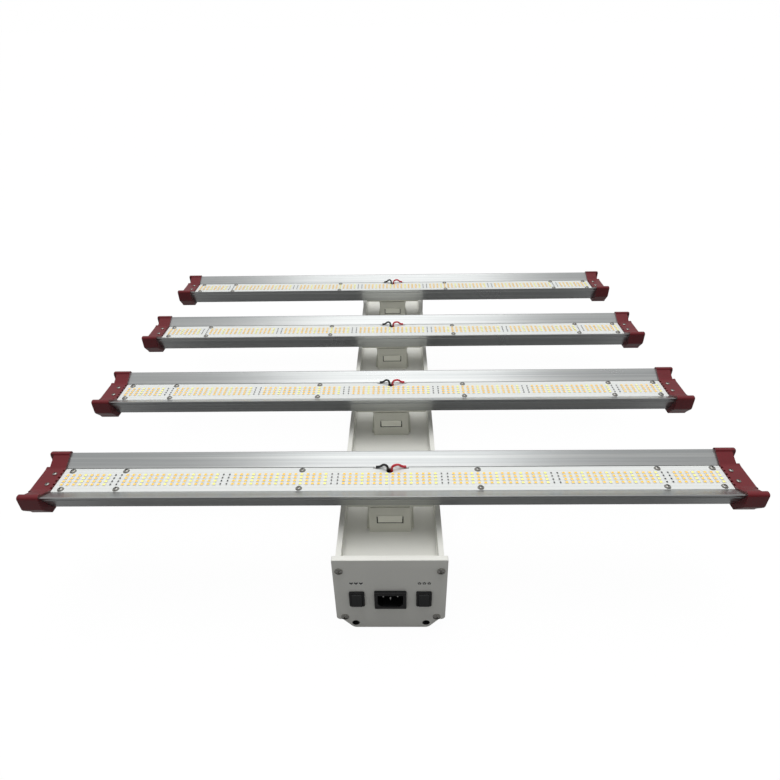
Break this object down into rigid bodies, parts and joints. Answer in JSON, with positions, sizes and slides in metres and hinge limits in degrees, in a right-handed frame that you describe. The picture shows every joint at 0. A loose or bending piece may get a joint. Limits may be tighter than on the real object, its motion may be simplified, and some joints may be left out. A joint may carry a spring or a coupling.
{
  "type": "led grow light",
  "caption": "LED bar grow light: parallel reflector bars with white LED boards and red end caps on brackets over a white driver housing with inlet and rocker switches.",
  "frame": {"origin": "bottom centre of the fixture lying on its back, on the edges of the end plates' ears", "axes": "+X along the LED bars, -Y towards the end plate with inlet and switches, +Z the way the LEDs shine; hung up in use, the fixture is turned over so that +Z points down"},
  "size_m": [0.696, 0.6151, 0.1484],
  "materials": {
    "anodised_aluminium": "satin anodised, fine lines along the extrusion",
    "beige_plastic": "fine moulded texture",
    "black_gloss": "satin",
    "black_insulation": "soft sheen",
    "black_plastic": "fine moulded texture",
    "connector_plastic": "moulded",
    "driver_case": "potted block",
    "led_phosphor": "yellow phosphor in a white package",
    "pin_metal": "nickel plated",
    "red_insulation": "soft sheen",
    "red_plastic": "satin moulded",
    "screw_steel": "zinc plated",
    "white_board": "white solder mask",
    "white_powder_coat": "white powder coat on aluminium"
  },
  "bodies": {
    "fixture": {"bar_1_black_wire": "black_insulation", "bar_1_board_screws": "screw_steel", "bar_1_bracket": "beige_plastic", "bar_1_cap_screws": "screw_steel", "bar_1_heatsink": "anodised_aluminium", "bar_1_led_boards": "white_board", "bar_1_leds": "led_phosphor", "bar_1_left_cap": "red_plastic", "bar_1_red_wire": "red_insulation", "bar_1_right_cap": "red_plastic", "bar_2_black_wire": "black_insulation", "bar_2_board_screws": "screw_steel", "bar_2_bracket": "beige_plastic", "bar_2_cap_screws": "screw_steel", "bar_2_heatsink": "anodised_aluminium", "bar_2_led_boards": "white_board", "bar_2_leds": "led_phosphor", "bar_2_left_cap": "red_plastic", "bar_2_red_wire": "red_insulation", "bar_2_right_cap": "red_plastic", "bar_3_black_wire": "black_insulation", "bar_3_board_screws": "screw_steel", "bar_3_bracket": "beige_plastic", "bar_3_cap_screws": "screw_steel", "bar_3_heatsink": "anodised_aluminium", "bar_3_led_boards": "white_board", "bar_3_leds": "led_phosphor", "bar_3_left_cap": "red_plastic", "bar_3_red_wire": "red_insulation", "bar_3_right_cap": "red_plastic", "bar_4_black_wire": "black_insulation", "bar_4_board_screws": "screw_steel", "bar_4_bracket": "beige_plastic", "bar_4_cap_screws": "screw_steel", "bar_4_heatsink": "anodised_aluminium", "bar_4_led_boards": "white_board", "bar_4_leds": "led_phosphor", "bar_4_left_cap": "red_plastic", "bar_4_red_wire": "red_insulation", "bar_4_right_cap": "red_plastic", "bracket_screws": "screw_steel", "driver_screws": "screw_steel", "front_plate": "white_powder_coat", "housing_channel": "white_powder_coat", "housing_cover": "white_powder_coat", "inlet_body": "black_plastic", "inlet_pins": "pin_metal", "led_drivers": "driver_case", "left_switch_frame": "black_plastic", "mains_leads": "black_insulation", "plate_screws": "screw_steel", "rear_plate": "white_powder_coat", "right_switch_frame": "black_plastic", "wire_connectors": "connector_plastic"},
    "left_rocker": {"left_rocker": "black_gloss"},
    "right_rocker": {"right_rocker": "black_gloss"},
    "snap_tongue_1": {"bar_1_snap_tongue": "beige_plastic"},
    "snap_tongue_2": {"bar_2_snap_tongue": "beige_plastic"},
    "snap_tongue_3": {"bar_3_snap_tongue": "beige_plastic"},
    "snap_tongue_4": {"bar_4_snap_tongue": "beige_plastic"}
  },
  "joints": [
    {"name": "left_rocker_tip", "type": "hinge", "parent": "fixture", "child": "left_rocker", "pos_m": [-0.0324, -0.3034, 0.0465], "axis": [1, 0, 0], "range_deg": [0, 20]},
    {"name": "right_rocker_tip", "type": "hinge", "parent": "fixture", "child": "right_rocker", "pos_m": [0.0324, -0.3034, 0.0465], "axis": [1, 0, 0], "range_deg": [0, 20]},
    {"name": "snap_tongue_1_flex", "type": "hinge", "parent": "fixture", "child": "snap_tongue_1", "pos_m": [0, -0.2538, 0.1072], "axis": [1, 0, 0], "range_deg": [0, 12], "stiffness_Nm_per_rad": 0.01},
    {"name": "snap_tongue_2_flex", "type": "hinge", "parent": "fixture", "child": "snap_tongue_2", "pos_m": [0, -0.0972, 0.1072], "axis": [1, 0, 0], "range_deg": [0, 12], "stiffness_Nm_per_rad": 0.01},
    {"name": "snap_tongue_3_flex", "type": "hinge", "parent": "fixture", "child": "snap_tongue_3", "pos_m": [0, 0.0594, 0.1072], "axis": [1, 0, 0], "range_deg": [0, 12], "stiffness_Nm_per_rad": 0.01},
    {"name": "snap_tongue_4_flex", "type": "hinge", "parent": "fixture", "child": "snap_tongue_4", "pos_m": [0, 0.216, 0.1072], "axis": [1, 0, 0], "range_deg": [0, 12], "stiffness_Nm_per_rad": 0.01}
  ]
}
